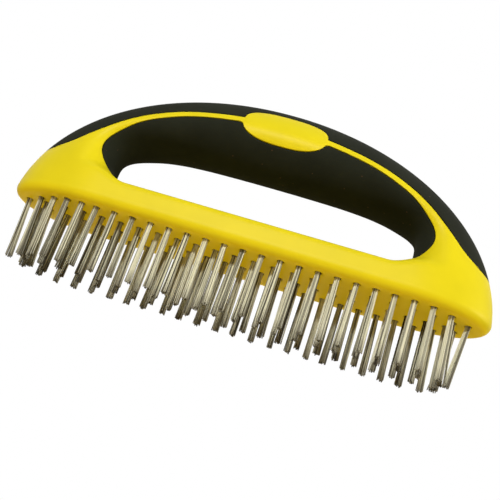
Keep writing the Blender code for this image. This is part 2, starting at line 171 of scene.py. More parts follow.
def arch_ray(share, inset=0.0):
    """Ends of the rays at these shares of the arch, from its right end to its left."""
    half, rise, _ = arch_axes(inset)
    first = asin(((EDGE_FILLET - ARCH_CENTRE) / rise) ** (ARCH_SQUARENESS / 2))
    turn = first + (pi - 2 * first) * share
    outside = np.stack((half * power(np.cos(turn), 2 / ARCH_SQUARENESS),
                        ARCH_CENTRE + rise * power(np.sin(turn), 2 / ARCH_SQUARENESS)), axis=-1)
    from_end = np.minimum(share, 1 - share)
    held = from_end * eased(np.clip(from_end / FAN_SHARE, 0.0, 1.0))
    opening_share = np.where(share < 0.5, held, 1 - held)
    opening_half = OPENING_LENGTH / 2 + inset
    flat = OPENING_FLAT / 2
    x = opening_half * np.cos(pi * opening_share)
    along = np.maximum(0.0, np.abs(x) - flat) / (opening_half - flat)
    fall = np.maximum(0.0, 1 - along ** OPENING_SQUARENESS) ** (1 / OPENING_SQUARENESS)
    opening = np.stack((x, OPENING_END_HEIGHT + (OPENING_TOP + inset - OPENING_END_HEIGHT) * fall), axis=-1)
    return outside, opening


def corner_rays(inset):
    """Ends of the rays from the arch's right end round the lower corner to the opening's level floor."""
    _, _, length = arch_axes(inset)
    fillet = EDGE_FILLET - inset
    outside, turns = [], []
    for i in range(1, FILLET_RAYS + 1):
        share = i / FILLET_RAYS
        outside.append((length - fillet + fillet * cos(pi / 2 * share),
                        inset + fillet - fillet * sin(pi / 2 * share)))
        turns.append(FILLET_TURN * share)
    bow_start = BOW_START * length
    for i in range(1, BOW_RAYS + 1):
        share = i / BOW_RAYS
        outside.append((bow_start + (length - fillet - bow_start) * cos(pi / 2 * share), inset))
        turns.append(FILLET_TURN + (BOW_TURN - FILLET_TURN) * share)
    for i in range(1, CORNER_RAYS + 1):
        share = i / CORNER_RAYS
        outside.append((bow_start + (OPENING_FLOOR_LENGTH / 2 - bow_start) * share, inset))
        turns.append(BOW_TURN + (90 - BOW_TURN) * share)
    turn = np.radians(turns)
    floor_half = OPENING_FLOOR_LENGTH / 2
    reach = OPENING_LENGTH / 2 + inset - floor_half
    drop = OPENING_END_HEIGHT - (BLOCK_THICKNESS - inset)
    opening = np.stack((floor_half + reach * np.cos(turn), OPENING_END_HEIGHT - drop * np.sin(turn)), axis=-1)
    return np.array(outside), opening


def all_rays(arch_shares, inset):
    """Ends of all rays, anticlockwise round the side view from the middle of the floor."""
    outside, opening = arch_ray(arch_shares, inset)
    corner = corner_rays(inset)
    middle = OPENING_FLOOR_LENGTH * (np.arange(1, FLOOR_RAYS) / FLOOR_RAYS - 0.5)
    floor_height = BLOCK_THICKNESS - inset
    ends = []
    for arch, side, height in ((outside, corner[0], inset), (opening, corner[1], floor_height)):
        level = np.stack((middle, np.full_like(middle, height)), axis=-1)
        loop = np.concatenate((arch, side * OTHER_END, level, side[::-1]))
        ends.append(np.roll(loop, -(len(arch) + len(side) + len(level) // 2), axis=0))
    return ends


def half_widths(x, z, inset):
    """Half width beside the opening's rounding: full amidships, closing as an ellipse to the outside."""
    half, rise, length = arch_axes(inset)
    width = HALF_WIDTH - inset
    fillet = EDGE_FILLET - inset
    drop = np.maximum(0.0, EDGE_FILLET - z)
    undercut = np.where(drop > 0, fillet - np.sqrt(np.maximum(0.0, fillet ** 2 - drop ** 2)), 0.0)
    half = half * (1 - undercut / length)
    width = width - undercut
    height = np.maximum(EDGE_FILLET, z) - ARCH_CENTRE
    reach = (np.abs(x) / half) ** ARCH_SQUARENESS + (height / rise) ** ARCH_SQUARENESS
    reach = reach ** (1 / ARCH_SQUARENESS)
    along = np.clip((reach - BOW_START) / (1 - BOW_START), 0.0, 1.0)
    return width * np.sqrt(1 - along ** 2)


class Loft:
    """The brush's skin over a set of rays: place() gives points at shares of the rays, moved inwards."""

    def __init__(self, arch_shares):
        self.depth = SKIN + SEAM
        self.outer = all_rays(arch_shares, 0.0)
        self.inner = all_rays(arch_shares, self.depth)
        self.count = len(self.outer[0])
        self.length = np.linalg.norm(self.outer[1] - self.outer[0], axis=1)

    def side(self, share, inset=0.0):
        """Side view points at shares of the rays, the rays' ends at the opening, and the rays' lengths."""
        blend = np.asarray(inset)[..., None] / self.depth
        low = self.outer[0][:, None] + (self.inner[0] - self.outer[0])[:, None] * blend
        high = self.outer[1][:, None] + (self.inner[1] - self.outer[1])[:, None] * blend
        return low + (high - low) * share[..., None], high, np.linalg.norm(high - low, axis=-1)

    def place(self, share, inset=0.0):
        """Front skin points (x, -half width, z), z above the wire tips."""
        inset = np.broadcast_to(np.asarray(inset, dtype=float), share.shape)
        spot, opening, ruling = self.side(share, inset)
        floor_height = BLOCK_THICKNESS - inset
        climb = (opening[..., 1] - floor_height) / (OPENING_END_HEIGHT - floor_height)
        blend = eased(np.clip(climb, 0.0, 1.0))
        # The skin rounds in towards the opening: over this depth, and at the rim by this share of the width
        depth = FLOOR_EDGE_ROUNDING + (ARCH_UNDER_ROUNDING - FLOOR_EDGE_ROUNDING) * blend
        taken = FLOOR_EDGE_ROUNDING / HALF_WIDTH
        taken = taken + (1 - taken) * blend
        near = np.maximum(0.0, 1 - ruling * (1 - share) / depth)
        half = half_widths(spot[..., 0], spot[..., 1], inset)
        half = half * (1 - taken * (1 - np.sqrt(np.maximum(0.0, 1 - near ** 2))))
        return np.stack((spot[..., 0], -half, spot[..., 1] + TRIM_LENGTH), axis=-1)


# ---------------------------------------------------------------- grip and pad outlines

def smooth_line(points, steps):
    """Points of a Catmull-Rom curve through the given ones."""
    points = np.array(points, dtype=float)
    padded = np.concatenate((points[:1], points, points[-1:]))
    t = (np.arange(steps) / steps)[:, None]
    line = []
    for p, q, r, s in zip(padded, padded[1:], padded[2:], padded[3:]):
        line.append(0.5 * (2 * q + (r - p) * t + (2 * p - 5 * q + 4 * r - s) * t ** 2
                           + (3 * q - p - 3 * r + s) * t ** 3))
    return np.concatenate((*line, points[-1:]))


def on_arch(turn, share):
    """Side view points at turns in degrees and shares of the way outside."""
    turn = np.radians(turn)
    return np.stack((share * HALF_LENGTH * np.cos(turn),
                     EDGE_FILLET + share * (HANDLE_TOP - EDGE_FILLET) * np.sin(turn)), axis=-1)


def place_on_arch(spot):
    """The turn in degrees and share of side view points, as on the right half."""
    along = np.abs(spot[..., 0]) / HALF_LENGTH
    up = (spot[..., 1] - EDGE_FILLET) / (HANDLE_TOP - EDGE_FILLET)
    return np.degrees(np.arctan2(up, along)), np.hypot(along, up)


def edge_lines():
    """The crown grip's lower edge and the finger grip's upper edge, each as rising turns and their shares."""
    crown = on_arch(*np.array(CROWN_EDGE).T)
    centre = np.array((0.0, EDGE_FILLET))
    below = []
    for spot in crown[:STRIPE_STATIONS] - centre:
        below.append(centre + spot * (1 - STRIPE_WIDTH / np.linalg.norm(spot)))
    _, opening = arch_ray(np.linspace(0.0, 0.5, RIM_POINTS))
    corner = corner_rays(0.0)[1]
    rim_turn, rim_share = place_on_arch(np.concatenate((corner[::-1], opening)))
    crown_turn, crown_share = np.array(CROWN_EDGE[::-1]).T
    for turn, share in LOBE:
        rim = np.interp(turn, rim_turn, rim_share)
        below.append(on_arch(turn, rim + share * (np.interp(turn, crown_turn, crown_share) - rim)))
    lines = []
    for stations in (crown, np.array(below)):
        whole = np.concatenate((stations[:0:-1] * OTHER_END, stations))
        line = smooth_line(whole, EDGE_LINE_STEPS)
        for _ in range(EDGE_LINE_EASING):
            line[1:-1] = (line[:-2] + 2 * line[1:-1] + line[2:]) / 4
        turn, share = place_on_arch(line[line[:, 0] >= -HAIR])
        order = np.argsort(turn)
        lines.append((turn[order], share[order]))
    return lines


def pad_level(spot):
    """Below 1 inside the nameplate pad's outline."""
    return (np.abs(spot[..., 0] / (PAD_LENGTH / 2)) ** PAD_SQUARENESS
            + np.abs((spot[..., 1] - PAD_CENTRE_HEIGHT) / (PAD_HEIGHT / 2)) ** PAD_SQUARENESS)


def crossing(values, shares, last=False):
    """The share at which each row of values first (or last) crosses zero; 0 (or 1) where it never does."""
    found = np.full(len(values), 1.0 if last else 0.0)
    for i, row in enumerate(values):
        change = np.nonzero(np.sign(row[:-1]) != np.sign(row[1:]))[0]
        if len(change):
            k = change[-1] if last else change[0]
            found[i] = shares[k] + (shares[k + 1] - shares[k]) * row[k] / (row[k] - row[k + 1])
    return found


def cut_shares(loft, lines):
    """Shares of each ray where the crown grip ends and where the finger grip starts."""
    (crown_turn, crown_share), (finger_turn, finger_share) = lines
    shares = np.linspace(0.0, 1.0, CUT_POINTS)
    spot, _, _ = loft.side(np.broadcast_to(shares, (loft.count, len(shares))))
    turn, reach = place_on_arch(spot)
    never = 2.0                 # a share that no point reaches
    over_crown = reach - np.interp(turn, crown_turn, crown_share, left=never)
    crown_end = np.where(over_crown[:, 0] > 0, crossing(over_crown, shares), 0.0)
    under_finger = np.interp(turn, finger_turn, finger_share, left=0.0) - reach
    foot = on_arch(finger_turn[0], finger_share[0])[1]
    gripped = (under_finger[:, -1] > 0) & (loft.outer[1][:, 1] > foot)
    finger_start = np.where(gripped, crossing(under_finger, shares, last=True), 1.0)
    level = pad_level(spot) - 1
    on_pad = level.min(axis=1) < 0
    pad_start, pad_end = crossing(level, shares), crossing(level, shares, last=True)
    crown_end = np.where(on_pad, np.minimum(crown_end, pad_start), crown_end)
    finger_start = np.where(on_pad, np.maximum(finger_start, pad_end), finger_start)
    return crown_end, finger_start


def arch_stations():
    """Shares of the arch for the rays: even ones, and more through the pad's outline and the grips' tips."""
    even = np.linspace(0.0, 1.0, ARCH_RAYS + 1)
    outside, opening = arch_ray(FINE_SHARES)
    extra = []
    for turn in 2 * pi * (np.arange(PAD_RAYS) + 0.5) / PAD_RAYS:
        x = PAD_LENGTH / 2 * power(cos(turn), 2 / PAD_SQUARENESS)
        z = PAD_CENTRE_HEIGHT + PAD_HEIGHT / 2 * power(sin(turn), 2 / PAD_SQUARENESS)
        beside = (outside[:, 0] - x) * (opening[:, 1] - z) - (outside[:, 1] - z) * (opening[:, 0] - x)
        extra.append(FINE_SHARES[np.argmin(np.abs(beside))])
    tips = np.linspace(0.0, TIP_SPAN, TIP_RAYS)
    shares = np.unique(np.round(np.concatenate((even, extra, tips, 1 - tips)), RAY_DIGITS))
    keep = [shares[0]]
    for share in shares[1:]:
        if share - keep[-1] > RAY_SPACING:
            keep.append(share)
    keep[-1] = 1.0
    return np.array(keep)


# ---------------------------------------------------------------- meshes

def merge_doubles(bm):
    """Merges vertices that coincide and drops the faces that this leaves without area."""
    bmesh.ops.remove_doubles(bm, verts=bm.verts, dist=MERGED)
    bmesh.ops.dissolve_degenerate(bm, dist=MERGED / 2, edges=bm.edges)


def in_scene(name, data):
    """A new object of the data, linked into the scene."""
    made = bpy.data.objects.new(name, data)
    bpy.context.scene.collection.objects.link(made)
    return made


def finish_mesh(name, bm, surface):
    """A smooth shaded object of the mesh, its doubles merged and its faces outwards."""
    merge_doubles(bm)
    bmesh.ops.recalc_face_normals(bm, faces=bm.faces)
    mesh = bpy.data.meshes.new(name)
    bm.to_mesh(mesh)
    bm.free()
    mesh.materials.append(surface)
    mesh.shade_smooth()
    mesh.set_sharp_from_angle(angle=radians(SHARP_ANGLE))
    return in_scene(name, mesh)


def spread(start, end, steps):
    """Shares from start to end for each ray, closer together at both ends."""
    base = (1 - np.cos(pi * np.arange(steps + 1) / steps)) / 2
    return start[:, None] + (end - start)[:, None] * base[None, :]


def rounding(distance, radius):
    """How far a rounded edge has dropped at a distance from its corner."""
    near = np.clip(radius - distance, 0.0, radius)
    return radius - np.sqrt(np.maximum(0.0, radius ** 2 - near ** 2))


def ring_faces(bm, rings, closed):
    """Quads between neighbouring rings of points; the last joins the first where closed."""
    count, size = rings.shape[:2]
    verts = [[bm.verts.new(spot) for spot in ring] for ring in rings.tolist()]
    for i in range(count if closed else count - 1):
        k = (i + 1) % count
        for j in range(size):
            n = (j + 1) % size
            bm.faces.new((verts[i][j], verts[i][n], verts[k][n], verts[k][j]))
    return verts


def mirrored(points):
    """The back's points for the front's."""
    return points * np.array((1.0, -1.0, 1.0))


def grip(name, loft, start, end, over_crown, surface):
    """A closed soft skin over part of each ray, from the front round the crown or the opening to the back."""
    used = np.nonzero(end - start > NO_WIDTH)[0]
    wanted = slice(used[0] - 1, used[-1] + 2)
    shares = spread(start, end, CROWN_STEPS if over_crown else FINGER_STEPS)
    edge = shares[:, -1:] if over_crown else shares[:, :1]
    room = np.abs(edge - shares) * loft.length[:, None]
    width = ((end - start) * loft.length)[:, None]
    edge_radius = np.minimum(GRIP_EDGE, GRIP_EDGE_ROOM * width)
    outer = loft.place(shares, rounding(room, np.maximum(edge_radius, TINY)))
    inner = loft.place(shares, np.minimum(SKIN, SKIN_GROWTH * width + SKIN_AT_TIP))
    front_out, front_in = outer[wanted], inner[wanted]
    if over_crown:
        ring = np.concatenate((front_out[:, ::-1], mirrored(front_out)[:, 1:],
                               mirrored(front_in)[:, ::-1], front_in[:, 1:]), axis=1)
    else:
        ring = np.concatenate((front_out, mirrored(front_out)[:, ::-1],
                               mirrored(front_in), front_in[:, ::-1]), axis=1)
    bm = bmesh.new()
    verts = ring_faces(bm, ring, closed=False)
    for end_ring in (verts[0], verts[-1]):
        bm.faces.new(end_ring)
    return finish_mesh(name, bm, surface)


def tuft_places():
    """The tufts' places (x, y), gathered into the CAD model's named columns, each from front to back."""
    def spaced(first, pitch, limit):
        return [first + pitch * i for i in range(int((limit - first) / pitch + TINY) + 1)]

    outer_limit = HALF_LENGTH - END_MARGIN
    inner_limit = HALF_LENGTH - INNER_END_MARGIN
    right = spaced(0.0, TUFT_PITCH, outer_limit)
    left = spaced(TUFT_PITCH, TUFT_PITCH, HALF_LENGTH - LEFT_END_SPAN)
    left += spaced(left[-1] + LEFT_END_PITCH, LEFT_END_PITCH, outer_limit)
    inner_front = spaced(INNER_FRONT_PITCH / 2, INNER_FRONT_PITCH, inner_limit)
    inner_back = spaced(TUFT_PITCH, TUFT_PITCH, inner_limit)
    back = spaced(TUFT_PITCH / 2, TUFT_PITCH, outer_limit)
    rows = (
        (-OUTER_ROW, ROW_SHIFT, right + [-x for x in left]),
        (-INNER_ROW, 0.0, inner_front + [-x for x in inner_front]),
        (INNER_ROW, ROW_SHIFT, [0.0] + inner_back + [-x for x in inner_back]),
        (OUTER_ROW, ROW_SHIFT, back + [-x for x in back]),
    )
    columns = {}
    start = HALF_LENGTH - ROW_CURVE_TIP - ROW_CURVE_LENGTH
    for y, shift, places in rows:
        for place in sorted(places):
            x = place + shift
            along = min(1.0, max(0.0, abs(x) - start) / ROW_CURVE_LENGTH)
            number = floor((x - ROW_SHIFT) / TUFT_PITCH + 0.5 + TINY)
            side = "left" if number < 0 else "right"
            column = f"{side}_{abs(number):02d}" if number else "middle"
            columns.setdefault(column, []).append((x, y * (1 - along ** ROW_CURVE_POWER)))
    return {column: sorted(places, key=lambda place: place[1]) for column, places in columns.items()}


def drilled_underside(bm, outline, places):
    """Fills the flat underside inside its outline's vertices, with a chamfered blind hole at each place."""
    spots = [vert.co.xy for vert in outline]
    count = len(outline)
    edges = [(i, (i + 1) % count) for i in range(count)]
    turns = [2 * pi * i / HOLE_SIDES for i in range(HOLE_SIDES)]
    owners = list(outline)
    height = outline[0].co.z
    for x, y in places:
        rings = []
        for radius, depth in ((HOLE_RADIUS + HOLE_CHAMFER, 0.0), (HOLE_RADIUS, HOLE_CHAMFER),
                              (HOLE_RADIUS, HOLE_DEPTH)):
            rings.append([bm.verts.new((x + radius * cos(turn), y + radius * sin(turn), height + depth))
                          for turn in turns])
        for low, high in zip(rings, rings[1:]):
            for i in range(HOLE_SIDES):
                k = (i + 1) % HOLE_SIDES
                bm.faces.new((low[i], low[k], high[k], high[i]))
        bm.faces.new(rings[-1])
        first = len(owners)
        owners += rings[0]
        spots += [vert.co.xy for vert in rings[0]]
        edges += [(first + i, first + (i + 1) % HOLE_SIDES) for i in range(HOLE_SIDES)]
    inside_only, nearness = 1, 1e-7
    _, _, faces, origins, _, _ = delaunay_2d_cdt(spots, edges, [], inside_only, nearness)
    for face in faces:
        corners = [origins[i][0] for i in face]
        holes = {(corner - count) // HOLE_SIDES if corner >= count else -1 for corner in corners}
        over_a_hole = len(holes) == 1 and -1 not in holes
        if not over_a_hole:
            bm.faces.new([owners[corner] for corner in corners])


def open_rim(bm):
    """The vertices round the mesh's one opening, in order."""
    first = next(edge for edge in bm.edges if edge.is_boundary)
    rim = [first.verts[0]]
    while True:
        onward = [edge for edge in rim[-1].link_edges if edge.is_boundary
                  and (len(rim) < 2 or edge.other_vert(rim[-1]) is not rim[-2])]
        following = onward[0].other_vert(rim[-1])
        if following is rim[0]:
            return rim
        rim.append(following)


def brush_body(name, loft, crown_end, finger_start, places, surface):
    """The yellow body: the skin between the grips, the pockets under them and the drilled underside."""
    has_crown = (crown_end > NO_WIDTH)[:, None]
    has_finger = (finger_start < 1 - NO_WIDTH)[:, None]
    gap = SEAM / loft.length
    zero, one = np.zeros(loft.count), np.ones(loft.count)
    low = np.where(has_crown[:, 0], crown_end + gap, 0.0)
    high = np.where(has_finger[:, 0], finger_start - gap, 1.0)
    under_crown = spread(zero, crown_end, CROWN_STEPS // 2)
    between = spread(low, high, YELLOW_STEPS)
    under_finger = spread(finger_start, one, FINGER_STEPS // 2)
    length = loft.length[:, None]
    edge = np.minimum(YELLOW_EDGE, YELLOW_EDGE_ROOM * length * (high - low)[:, None])
    drop = np.where(has_crown, rounding((between - low[:, None]) * length, edge), 0.0)
    drop = np.maximum(drop, np.where(has_finger, rounding((high[:, None] - between) * length, edge), 0.0))
    depth = SKIN + SEAM
    front = np.concatenate((
        loft.place(under_crown, np.where(has_crown, depth, 0.0)),
        loft.place(between, drop),
        loft.place(under_finger, np.where(has_finger, depth, 0.0))), axis=1)
    ring = np.concatenate((front, mirrored(front)[:, ::-1]), axis=1)
    bm = bmesh.new()
    ring_faces(bm, ring, closed=True)
    flat_rows = {i for i in range(loft.count) if loft.outer[0][i, 1] < HAIR}
    bm.faces.ensure_lookup_table()
    size = ring.shape[1]
    across = [bm.faces[i * size + size - 1] for i in flat_rows if (i + 1) % loft.count in flat_rows]
    bmesh.ops.delete(bm, geom=across, context="FACES")
    merge_doubles(bm)
    drilled_underside(bm, open_rim(bm), places)
    return finish_mesh(name, bm, surface)


# ---------------------------------------------------------------- materials

NOISE_SPAN = (0.3, 0.7)         # where nearly all of a noise's values lie
DRIFT_SCALE = 60.0              # a slow drift of tone
DRIFT_DETAIL = 3.0
GRAIN_DETAIL = 2.0              # the moulding's fine grain
GRAIN_STRENGTH = 0.35
ROUGHNESS_SWING = 0.04
SPECK_CELLS = 640.0             # pale specks on the soft grips: cells in a metre, and share of them taken
SPECK_SHARE = 0.030
SPECK_RADIUS = 0.22             # as a share of a cell
SPECK_COLOUR = (0.07, 0.045, 0.025, 1.0)
WIRE_DARK = (0.05, 0.042, 0.024, 1.0)
WIRE_PALE = (0.82, 0.80, 0.60, 1.0)
WIRE_PALE_FROM = 0.7            # of 1, the tone from which a wire has its palest colour
# Painted shade on the wires' lowest part, darkest at their cut tips
TIP_SHADE_COLOUR = (0.14, 0.12, 0.09, 1.0)
TIP_SHADE_SHARE = 0.62                # of that colour at the very tips
TIP_SHADE_HEIGHT = 0.007              # and none from this height


def new_material(name):
    """A material with its node tree and its surface shader."""
    made = bpy.data.materials.new(name)
    made.use_nodes = True
    return made, made.node_tree, made.node_tree.nodes["Principled BSDF"]


def fill(tree, node, inputs):
    """Links the node's inputs to sockets or sets them to values."""
    for socket, value in inputs.items():
        if isinstance(value, bpy.types.NodeSocket):
            tree.links.new(value, node.inputs[socket])
        else:
            node.inputs[socket].default_value = value


def joined(tree, kind, inputs=None, **settings):
    """A new node with its settings and its inputs."""
    made = tree.nodes.new(kind)
    for key, value in settings.items():
        setattr(made, key, value)
    fill(tree, made, inputs or {})
    return made


def maths(tree, operation, a, b=0.0):
    """What the operation makes of one or two numbers."""
    return joined(tree, "ShaderNodeMath", {0: a, 1: b}, operation=operation).outputs[0]


def scaled(tree, vector, by):
    """A vector times a number."""
    return joined(tree, "ShaderNodeVectorMath", {0: vector, "Scale": by}, operation="SCALE").outputs["Vector"]


def remapped(tree, value, span, onto):
    """The value with its span laid onto another and held at both ends."""
    return joined(tree, "ShaderNodeMapRange", {
        "Value": value, "From Min": span[0], "From Max": span[1], "To Min": onto[0], "To Max": onto[1],
    }).outputs["Result"]


def blended(tree, factor, low, high):
    """One colour for a factor of 0, the other for 1."""
    colours = {"Factor": factor, "A": low, "B": high}
    return joined(tree, "ShaderNodeMix", colours, data_type="RGBA").outputs["Result"]


def speckled(tree, spot, colour):
    """The colour with a pale speck in a small share of cells."""
    cells = joined(tree, "ShaderNodeTexVoronoi", {"Vector": spot, "Scale": SPECK_CELLS}).outputs
    chance = joined(tree, "ShaderNodeSeparateColor", {"Color": cells["Color"]}).outputs["Red"]
    chosen = maths(tree, "GREATER_THAN", chance, 1 - SPECK_SHARE)
    near = maths(tree, "LESS_THAN", cells["Distance"], SPECK_RADIUS)
    return blended(tree, maths(tree, "MULTIPLY", chosen, near), colour, SPECK_COLOUR)


def moulded_plastic(name, colour, roughness, grain, grain_depth, mottle, specks=False, **others):
    """Moulded plastic or soft grip: a fine grain, a slow drift of tone and, if wanted, pale specks."""
    made, tree, shader = new_material(name)
    spot = joined(tree, "ShaderNodeTexCoord").outputs["Object"]

    def noise(scale, detail):
        inputs = {"Vector": spot, "Scale": scale, "Detail": detail}
        return joined(tree, "ShaderNodeTexNoise", inputs).outputs["Fac"]

    tone = remapped(tree, noise(DRIFT_SCALE, DRIFT_DETAIL), NOISE_SPAN, (1 - mottle, 1 + mottle))
    tinted = scaled(tree, colour, tone)
    if specks:
        tinted = speckled(tree, spot, tinted)
    fine = noise(grain, GRAIN_DETAIL)
    rough = remapped(tree, fine, NOISE_SPAN, (roughness - ROUGHNESS_SWING, roughness + ROUGHNESS_SWING))
    relief = {"Height": fine, "Strength": GRAIN_STRENGTH, "Distance": grain_depth}
    bump = joined(tree, "ShaderNodeBump", relief).outputs["Normal"]
    fill(tree, shader, {"Base Color": tinted, "Roughness": rough, "Normal": bump, **others})
    return made


def yellow_plastic():
    """The core's moulded plastic."""
    return moulded_plastic("yellow_plastic", colour=(0.83, 0.69, 0.009), roughness=0.42, grain=2600.0,
                           grain_depth=0.00004, mottle=0.03, **{"Specular IOR Level": 0.12})


def black_grip(name, gloss, sheen):
    """A soft grip's rubber."""
    others = {"Specular IOR Level": gloss, "Sheen Weight": sheen, "Sheen Roughness": 0.5}
    return moulded_plastic(name, colour=(0.0220, 0.0245, 0.0165), roughness=0.82, grain=3200.0,
                           grain_depth=0.00006, mottle=0.12, specks=True, **others)


def steel_wire():
    """Drawn steel wire, each wire a little paler or darker, with painted shade that makes it greyer towards its
    cut tip.
    """
    made, tree, shader = new_material("steel_wire")
    tone = joined(tree, "ShaderNodeAttribute", attribute_name="tone").outputs["Fac"]
    ramp = joined(tree, "ShaderNodeValToRGB", {"Fac": tone})
    dark, pale = ramp.color_ramp.elements
    dark.color = WIRE_DARK
    pale.color = WIRE_PALE
    pale.position = WIRE_PALE_FROM
    spot = joined(tree, "ShaderNodeTexCoord").outputs["Object"]
    height = joined(tree, "ShaderNodeSeparateXYZ", {"Vector": spot}).outputs["Z"]
    # Painted shade: every wire darkens towards its cut tip
    painted_tip_shade = remapped(tree, height, (0.0, TIP_SHADE_HEIGHT), (TIP_SHADE_SHARE, 0.0))
    fill(tree, shader, {"Base Color": blended(tree, painted_tip_shade, ramp.outputs["Color"], TIP_SHADE_COLOUR),
                        "Metallic": 0.06, "Roughness": 0.34, "Specular IOR Level": 0.06})
    return made


# ---------------------------------------------------------------- wires

WIRES = {
    "Wires": 20, "Wire Radius": 0.00024, "Bundle Radius": 0.00138, "Fan": 0.34, "Tip Scatter": 0.00014,
    "Lean": 0.0005, "Trim": TRIM_LENGTH, "Root": 0.006, "Raggedness": 0.0010, "Bow": 0.00010,
}
BENT = {                        # bent columns: their tips' shift along X, and how much wider they fan
    "wires_left_12": (0.0018, 1.6), "wires_left_11": (0.0014, 1.6),
    "wires_right_11": (0.0012, 1.3), "wires_right_12": (-0.0030, 2.4),
}
STRAIGHT = (0.0, 1.0)
DRAWS = {                       # each random draw's own step from the column's seed
    "lean": 11, "opening": 12, "turn": 13, "scatter": 14, "length": 15, "bend": 16, "tone": 17, "slant": 18,
}
LEAST_FAN, MOST_FAN = 0.3, 1.7
TURN = 0.3                      # a wire's turn about its tuft's middle, in radians either way
SLANT = 0.6                     # slope of a tuft's cut, either way
GOLDEN = pi * (3 - sqrt(5))     # turn from one wire of a tuft to the next
WIRE_POINTS = 6
WIRE_SIDES = 5
ROOT_SHARE = 0.2                # share of a wire's points that lies in its hole
VECTORS = ("lean", "slant", "foot", "tip", "bend")      # stored attributes that are vectors, not numbers


def wire_tree(surface):
    """Geometry Nodes: each vertex becomes a tuft of wires that fan out a little towards their cut tips."""
    tree = bpy.data.node_groups.new("wire_tufts", "GeometryNodeTree")
    face = tree.interface
    face.new_socket("Tufts", in_out="INPUT", socket_type="NodeSocketGeometry")
    for name, value in (WIRES | {"Seed": 0}).items():
        kind = "NodeSocketInt" if isinstance(value, int) else "NodeSocketFloat"
        face.new_socket(name, in_out="INPUT", socket_type=kind)
    face.new_socket("Wires Mesh", in_out="OUTPUT", socket_type="NodeSocketGeometry")
    given = tree.nodes.new("NodeGroupInput").outputs

    def calc(operation, a, b=0.0):
        return maths(tree, operation, a, b)

    def added(a, b):
        return joined(tree, "ShaderNodeVectorMath", {0: a, 1: b}, operation="ADD").outputs["Vector"]

    def vector(x, y, z=0.0):
        return joined(tree, "ShaderNodeCombineXYZ", {"X": x, "Y": y, "Z": z}).outputs["Vector"]

    def random(draw, low, high, kind="FLOAT"):
        inputs = {"Min": low, "Max": high, "Seed": calc("ADD", given["Seed"], DRAWS[draw])}
        return joined(tree, "FunctionNodeRandomValue", inputs, data_type=kind).outputs["Value"]

    def sideways(draw, reach=1.0):
        return random(draw, (-reach, -reach, 0), (reach, reach, 0), "FLOAT_VECTOR")

    def kind_of(name):
        return "FLOAT_VECTOR" if name in VECTORS else "FLOAT"

    def stored(geometry, name, value):
        inputs = {"Geometry": geometry, "Name": name, "Value": value}
        return joined(tree, "GeometryNodeStoreNamedAttribute", inputs, data_type=kind_of(name),
                      domain="POINT").outputs["Geometry"]

    def kept(name):
        return joined(tree, "GeometryNodeInputNamedAttribute", {"Name": name},
                      data_type=kind_of(name)).outputs["Attribute"]

    def between(factor, low, high):
        inputs = {"Factor": factor, "A": low, "B": high}
        return joined(tree, "ShaderNodeMix", inputs, data_type="VECTOR",
                      clamp_factor=False).outputs["Result"]

    # Each tuft's lean, fan and slant
    bent = scaled(tree, vector(1.0, 0.0), kept("bent"))
    tufts = stored(given["Tufts"], "lean", added(scaled(tree, sideways("lean"), given["Lean"]), bent))
    opening = calc("MULTIPLY", random("opening", LEAST_FAN, MOST_FAN), kept("spread"))
    tufts = stored(tufts, "opening", opening)
    tufts = stored(tufts, "slant", sideways("slant", SLANT))
    doubled = joined(tree, "GeometryNodeDuplicateElements", {"Geometry": tufts, "Amount": given["Wires"]},
                     domain="POINT").outputs
    wires = stored(doubled["Geometry"], "number", doubled["Duplicate Index"])

    # Each wire's foot in the tuft's round bundle, and its tip
    number = kept("number")
    share = calc("SQRT", calc("DIVIDE", calc("ADD", number, 0.5), given["Wires"]))
    around = calc("ADD", calc("MULTIPLY", number, GOLDEN), random("turn", -TURN, TURN))
    reach = calc("MULTIPLY", share, calc("SUBTRACT", given["Bundle Radius"], given["Wire Radius"]))
    spoke = vector(calc("MULTIPLY", calc("COSINE", around), reach),
                   calc("MULTIPLY", calc("SINE", around), reach))
    level = added(joined(tree, "GeometryNodeInputPosition").outputs["Position"], spoke)
    foot = added(level, vector(0.0, 0.0, given["Trim"]))
    fan = scaled(tree, spoke, calc("MULTIPLY", given["Fan"], kept("opening")))
    scatter = scaled(tree, sideways("scatter"), given["Tip Scatter"])
    short = calc("POWER", random("length", 0.0, 1.0), 2.0)      # few wires are much shorter than the rest
    slant = joined(tree, "ShaderNodeVectorMath", {0: spoke, 1: kept("slant")},
                   operation="DOT_PRODUCT").outputs["Value"]
    end_height = calc("ADD", calc("MULTIPLY", short, given["Raggedness"]), calc("ABSOLUTE", slant))
    moved = added(kept("lean"), vector(0.0, 0.0, end_height))
    tip = added(level, added(added(fan, scatter), moved))
    bend = scaled(tree, sideways("bend"), given["Bow"])
    tone = random("tone", 0.0, 1.0)
    for name, value in (("foot", foot), ("tip", tip), ("bend", bend), ("tone", tone)):
        wires = stored(wires, name, value)

    # One straight line for each wire, laid from its root through its foot to its tip
    line = joined(tree, "GeometryNodeCurvePrimitiveLine", {"Start": (0, 0, 0), "End": (0, 0, 1)})
    steps = joined(tree, "GeometryNodeResampleCurve", {"Curve": line.outputs["Curve"], "Count": WIRE_POINTS})
    factor = joined(tree, "GeometryNodeSplineParameter").outputs["Factor"]
    measured = stored(steps.outputs["Curve"], "along", factor)
    put = joined(tree, "GeometryNodeInstanceOnPoints", {"Points": wires, "Instance": measured})
    real = joined(tree, "GeometryNodeRealizeInstances", {"Geometry": put.outputs["Instances"]})
    along = kept("along")
    below = calc("MAXIMUM", calc("DIVIDE", calc("SUBTRACT", along, ROOT_SHARE), 1 - ROOT_SHARE), 0.0)
    above = calc("MINIMUM", calc("DIVIDE", along, ROOT_SHARE), 1.0)
    root = added(kept("foot"), vector(0.0, 0.0, given["Root"]))
    straight = between(below, between(above, root, kept("foot")), kept("tip"))
